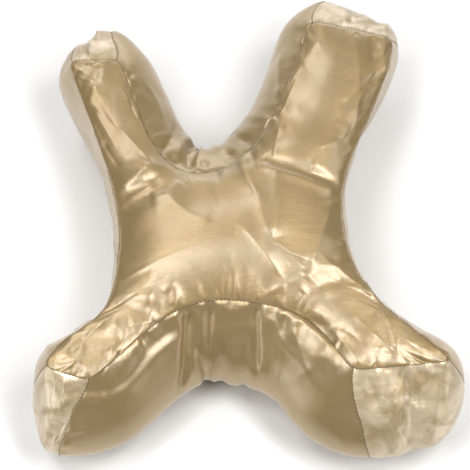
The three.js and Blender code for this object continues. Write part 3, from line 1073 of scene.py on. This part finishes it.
def satin_colour(tree, place):
    """Gold that drifts a little, with patches of painted sheen, paler and whiter, on the end pieces, which
    are cut across the weave.
    """
    drift = noise(tree, place, scale=14, detail=4)
    tone = colour_ramp(tree, drift.outputs["Fac"], (0.3, SATIN_DARK), (0.72, SATIN_LIGHT))
    # Painted sheen: pale patches on the end pieces stand in for the light that their crosswise weave
    # catches.
    sheen_patches = noise(tree, place, scale=36, detail=4, distortion=1.2)
    painted_sheen = map_range(tree, sheen_patches.outputs["Fac"], span=(0.36, 0.62), to=(0.2, 0.95))
    ends = add_node(tree, "Attribute", {}, attribute_name="crosswise").outputs["Fac"]
    sheen_on_ends = add_node(tree, "Math", {0: ends, 1: painted_sheen}, operation="MULTIPLY").outputs["Value"]
    colours = {"Factor": sheen_on_ends, MIX_FROM: tone, MIX_TO: SATIN_PAINTED_SHEEN}
    return add_node(tree, "Mix", colours, data_type="RGBA").outputs[MIXTURE]


def satin_normal(tree, place, cloth):
    """Fine relief: facets that are stronger towards the limb ends, streaks and yarns."""
    warp = noise(tree, place, scale=9, detail=2).outputs["Color"]
    warped = {0: warp, 1: FACET_SHIFT, 2: place}
    shift = add_node(tree, "VectorMath", warped, operation="MULTIPLY_ADD").outputs["Vector"]
    facet = add_node(tree, "TexVoronoi", {"Vector": shift, "Scale": 45, "Detail": 1.5})
    from_middle = add_node(tree, "VectorMath", {0: place}, operation="LENGTH").outputs["Value"]
    crumpled = map_range(tree, from_middle, span=(0.16, 0.25), to=(0.02, 0.22))
    facets = bump(tree, facet.outputs["Distance"], crumpled, distance=0.004)
    streak = noise(tree, stretched(tree, cloth, STREAKS), scale=1, detail=4, distortion=0.8)
    streaks = bump(tree, streak.outputs["Fac"], strength=0.14, distance=0.003, under=facets)
    yarn = noise(tree, stretched(tree, cloth, YARNS), scale=1, detail=2)
    return bump(tree, yarn.outputs["Fac"], strength=0.2, distance=0.0008, under=streaks)


def satin_material():
    """Champagne satin: its colour, its fine relief and a gloss that follows the weave."""
    material, tree = node_material("satin")
    place = add_node(tree, "TexCoord", {}).outputs["Object"]
    cloth = add_node(tree, "UVMap", {}, uv_map="cloth").outputs["UV"]
    grain = add_node(tree, "Tangent", {}, direction_type="UV_MAP", uv_map="cloth")
    set_inputs(tree, tree.nodes["Principled BSDF"], {
        "Base Color": satin_colour(tree, place),
        "Normal": satin_normal(tree, place, cloth),
        "Tangent": grain.outputs["Tangent"],
        **SATIN_GLOSS,
    })
    return material


def seam_shade_thread_material():
    """Sewing thread darkened as painted shade of the seam's gap, with the twist of its strands."""
    material, tree = node_material("thread")
    place = add_node(tree, "TexCoord", {}).outputs["Object"]
    strands = noise(tree, place, scale=1800, detail=2).outputs["Fac"]
    set_inputs(tree, tree.nodes["Principled BSDF"], {
        "Base Color": colour_ramp(tree, strands, (0, THREAD_SEAM_SHADE_DARK), (1, THREAD_SEAM_SHADE_LIGHT)),
        "Normal": bump(tree, strands, strength=0.3, distance=0.0002),
        "Roughness": 0.55,
    })
    return material


# Stitches: sizes, share of the radius by which they stand out, share of the pitch for their heading.
STITCH_PITCH = 3.6
STITCH_LENGTH = 3.3
STITCH_RADIUS = 0.45
STITCH_STANDS = 0.3
STITCH_AIM = 0.3
# Rings of a stitch: share of its half length, share of its radius, dip into the cloth.
STITCH_RINGS = [(-1.0, 0.45, 0.35), (-0.5, 1.0, 0.0), (0.5, 1.0, 0.0), (1.0, 0.45, 0.35)]
STITCH_SIDES = 5


def stitch_frames(path, normals):
    """Middle, heading and normal of each stitch along one sewn line."""
    run = lengths(path)
    count = int(run[-1] / STITCH_PITCH)
    middle = (np.arange(count) + 0.5) * run[-1] / count
    ahead = STITCH_AIM * STITCH_PITCH
    heading = along(path, middle + ahead) - along(path, middle - ahead)
    return along(path, middle), unit_rows(heading), unit_rows(taken_at(normals, run, middle))


def stitching_mesh(grid, at):
    """Stitches along the sewn lines, each a short thread that dips into the cloth at both ends."""
    lines = zip(seam_lines(grid, at), seam_lines(grid_normals(grid), at))
    frames = [stitch_frames(path, normals) for path, normals in lines]
    middle, heading, facing = (np.concatenate(part) for part in zip(*frames))
    across = np.cross(facing, heading)
    points = []
    for share, size, dip in STITCH_RINGS:
        for k in range(STITCH_SIDES):
            turn = 2 * math.pi * k / STITCH_SIDES
            radius = STITCH_RADIUS * size
            out = radius * math.sin(turn) + STITCH_RADIUS * STITCH_STANDS - dip
            points.append(middle + heading * share * STITCH_LENGTH / 2
                          + across * radius * math.cos(turn) + facing * out)
    points = np.stack(points, 1)
    count = points.shape[1]
    sides = strip_quads(len(STITCH_RINGS), STITCH_SIDES, np.arange(count))[:, [0, 3, 2, 1]].tolist()
    stitch = [*sides, list(range(STITCH_SIDES))[::-1], list(range(count - STITCH_SIDES, count))]
    faces = [[first + k for k in face] for first in range(0, len(points) * count, count) for face in stitch]
    mesh = bpy.data.meshes.new("seam_stitching")
    mesh.from_pydata((points.reshape(-1, 3) / METRE).tolist(), [], faces, shade_flat=False)
    return mesh


# Floor, in metres.
FLOOR_HALF = 6.0
FLOOR_PAPER = {"Base Color": (0.9, 0.9, 0.9, 1), "Roughness": 0.9}


def pale_floor():
    mesh = bpy.data.meshes.new("floor")
    corners = [(-1, -1), (1, -1), (1, 1), (-1, 1)]
    mesh.from_pydata([(FLOOR_HALF * x, FLOOR_HALF * y, 0) for x, y in corners], [], [(0, 1, 2, 3)])
    material, tree = node_material("floor_paper")
    set_inputs(tree, tree.nodes["Principled BSDF"], FLOOR_PAPER)
    mesh.materials.append(material)
    return scene_object("floor", mesh)


# Camera: lens, sensor, degrees above the floor, the photo's width and its scale at the top seam.
LENS = 120.0
SENSOR = 36
ELEVATION = 67.0
PHOTO_PIXELS = 470
PIXEL_MM = 0.93


def photo_camera():
    """The photo's view, from the neck arch and high above it."""
    distance = PHOTO_PIXELS * LENS / SENSOR * PIXEL_MM / METRE
    target = np.array([-PLAN_MIDDLE[0], -PLAN_MIDDLE[1], SEAM_TOP]) / METRE
    tilt = math.radians(ELEVATION)
    data = bpy.data.cameras.new("camera")
    data.lens = LENS
    data.sensor_width = SENSOR
    camera = scene_object("camera", data)
    camera.location = target + distance * np.array([0, -math.cos(tilt), math.sin(tilt)])
    camera.rotation_euler = (math.radians(90) - tilt, 0, 0)
    return camera


# Lights, all white and aimed at the pillow: name, place and sides in metres, power in watts.
LIGHTS = [
    ("key", (-0.65, 0.78, 1.75), (0.5, 0.5), 3),
    ("key_right", (0.3, 0.9, 1.8), (0.5, 0.5), 1),
    ("arm_left", (-0.45, 1.2, 1.55), (0.5, 0.5), 4.5),
    ("over", (0, -0.3, 1.9), (1.5, 0.4), 2.5),
    ("over_left", (-0.7, -0.65, 1.7), (0.5, 0.5), 10),
    ("over_right", (0.8, -0.55, 1.7), (0.5, 0.5), 12),
    ("leg_left", (-0.45, -0.1, 1.85), (0.4, 0.4), 6.5),
    ("leg_right", (0.55, -0.1, 1.85), (0.4, 0.4), 8),
    ("left", (-1.2, -0.3, 1.4), (0.5, 0.5), 2),
    ("right", (1.2, 0.3, 1.3), (0.5, 0.5), 3),
    ("back", (0, 2.4, 0.35), (2.0, 0.4), 10),
    ("front", (0, -2.0, 1.0), (1.4, 0.5), 2),
    ("left_fill", (-1.75, -1.0, 0.45), (0.8, 0.8), 6),
    ("right_fill", (1.75, -1.0, 0.45), (0.8, 0.8), 4.5),
]
LIGHT_AIM = np.array([0, 0, 0.1])


def area_light(name, place, size, power):
    data = bpy.data.lights.new(name, "AREA")
    data.shape = "RECTANGLE"
    data.size, data.size_y = size
    data.energy = power
    light = scene_object(name, data)
    light.location = place
    direction = LIGHT_AIM - np.array(place)
    x, y, z = direction / norm(direction)
    light.rotation_euler = (math.acos(-z), 0, math.atan2(y, x) - math.pi / 2)


# Room: the way in which it gets brighter, and its brightest grey.
ROOM_LEAN = (0, 0.8, -0.3)
ROOM_GLOW = (0.5, 0.5, 0.5)
BLACK = (0, 0, 0)


def studio_world():
    """A room that is dark in front of the pillow and paler low down behind it."""
    world = bpy.data.worlds.new("studio")
    world.use_nodes = True
    tree = world.node_tree
    place = add_node(tree, "TexCoord", {}).outputs["Generated"]
    lean = add_node(tree, "VectorMath", {0: place, 1: ROOM_LEAN}, operation="DOT_PRODUCT")
    glow = colour_ramp(tree, lean.outputs["Value"], (0, BLACK), (1, ROOM_GLOW))
    set_inputs(tree, tree.nodes["Background"], {"Color": glow, "Strength": 1.0})
    return world


# The pillow: its cover, which stands for the solid, and the stitches along its seams.
grid, at = sewn_cover()
cover = scene_object("pillow_cover", build_mesh("pillow_cover", grid, at))
stitching = scene_object("seam_stitching", stitching_mesh(grid, at))
# The stitches are real, but their dark colour is painted shade of the seam's gap.
stitching.data.materials.append(seam_shade_thread_material())
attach(stitching, "root")

cover.data.materials.append(satin_material())
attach(cover, "root")
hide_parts("pillow")

# The studio around it.
floor = pale_floor()
scene.camera = photo_camera()
for light in LIGHTS:
    area_light(*light)
scene.world = studio_world()
scene.view_settings.view_transform = "Standard"
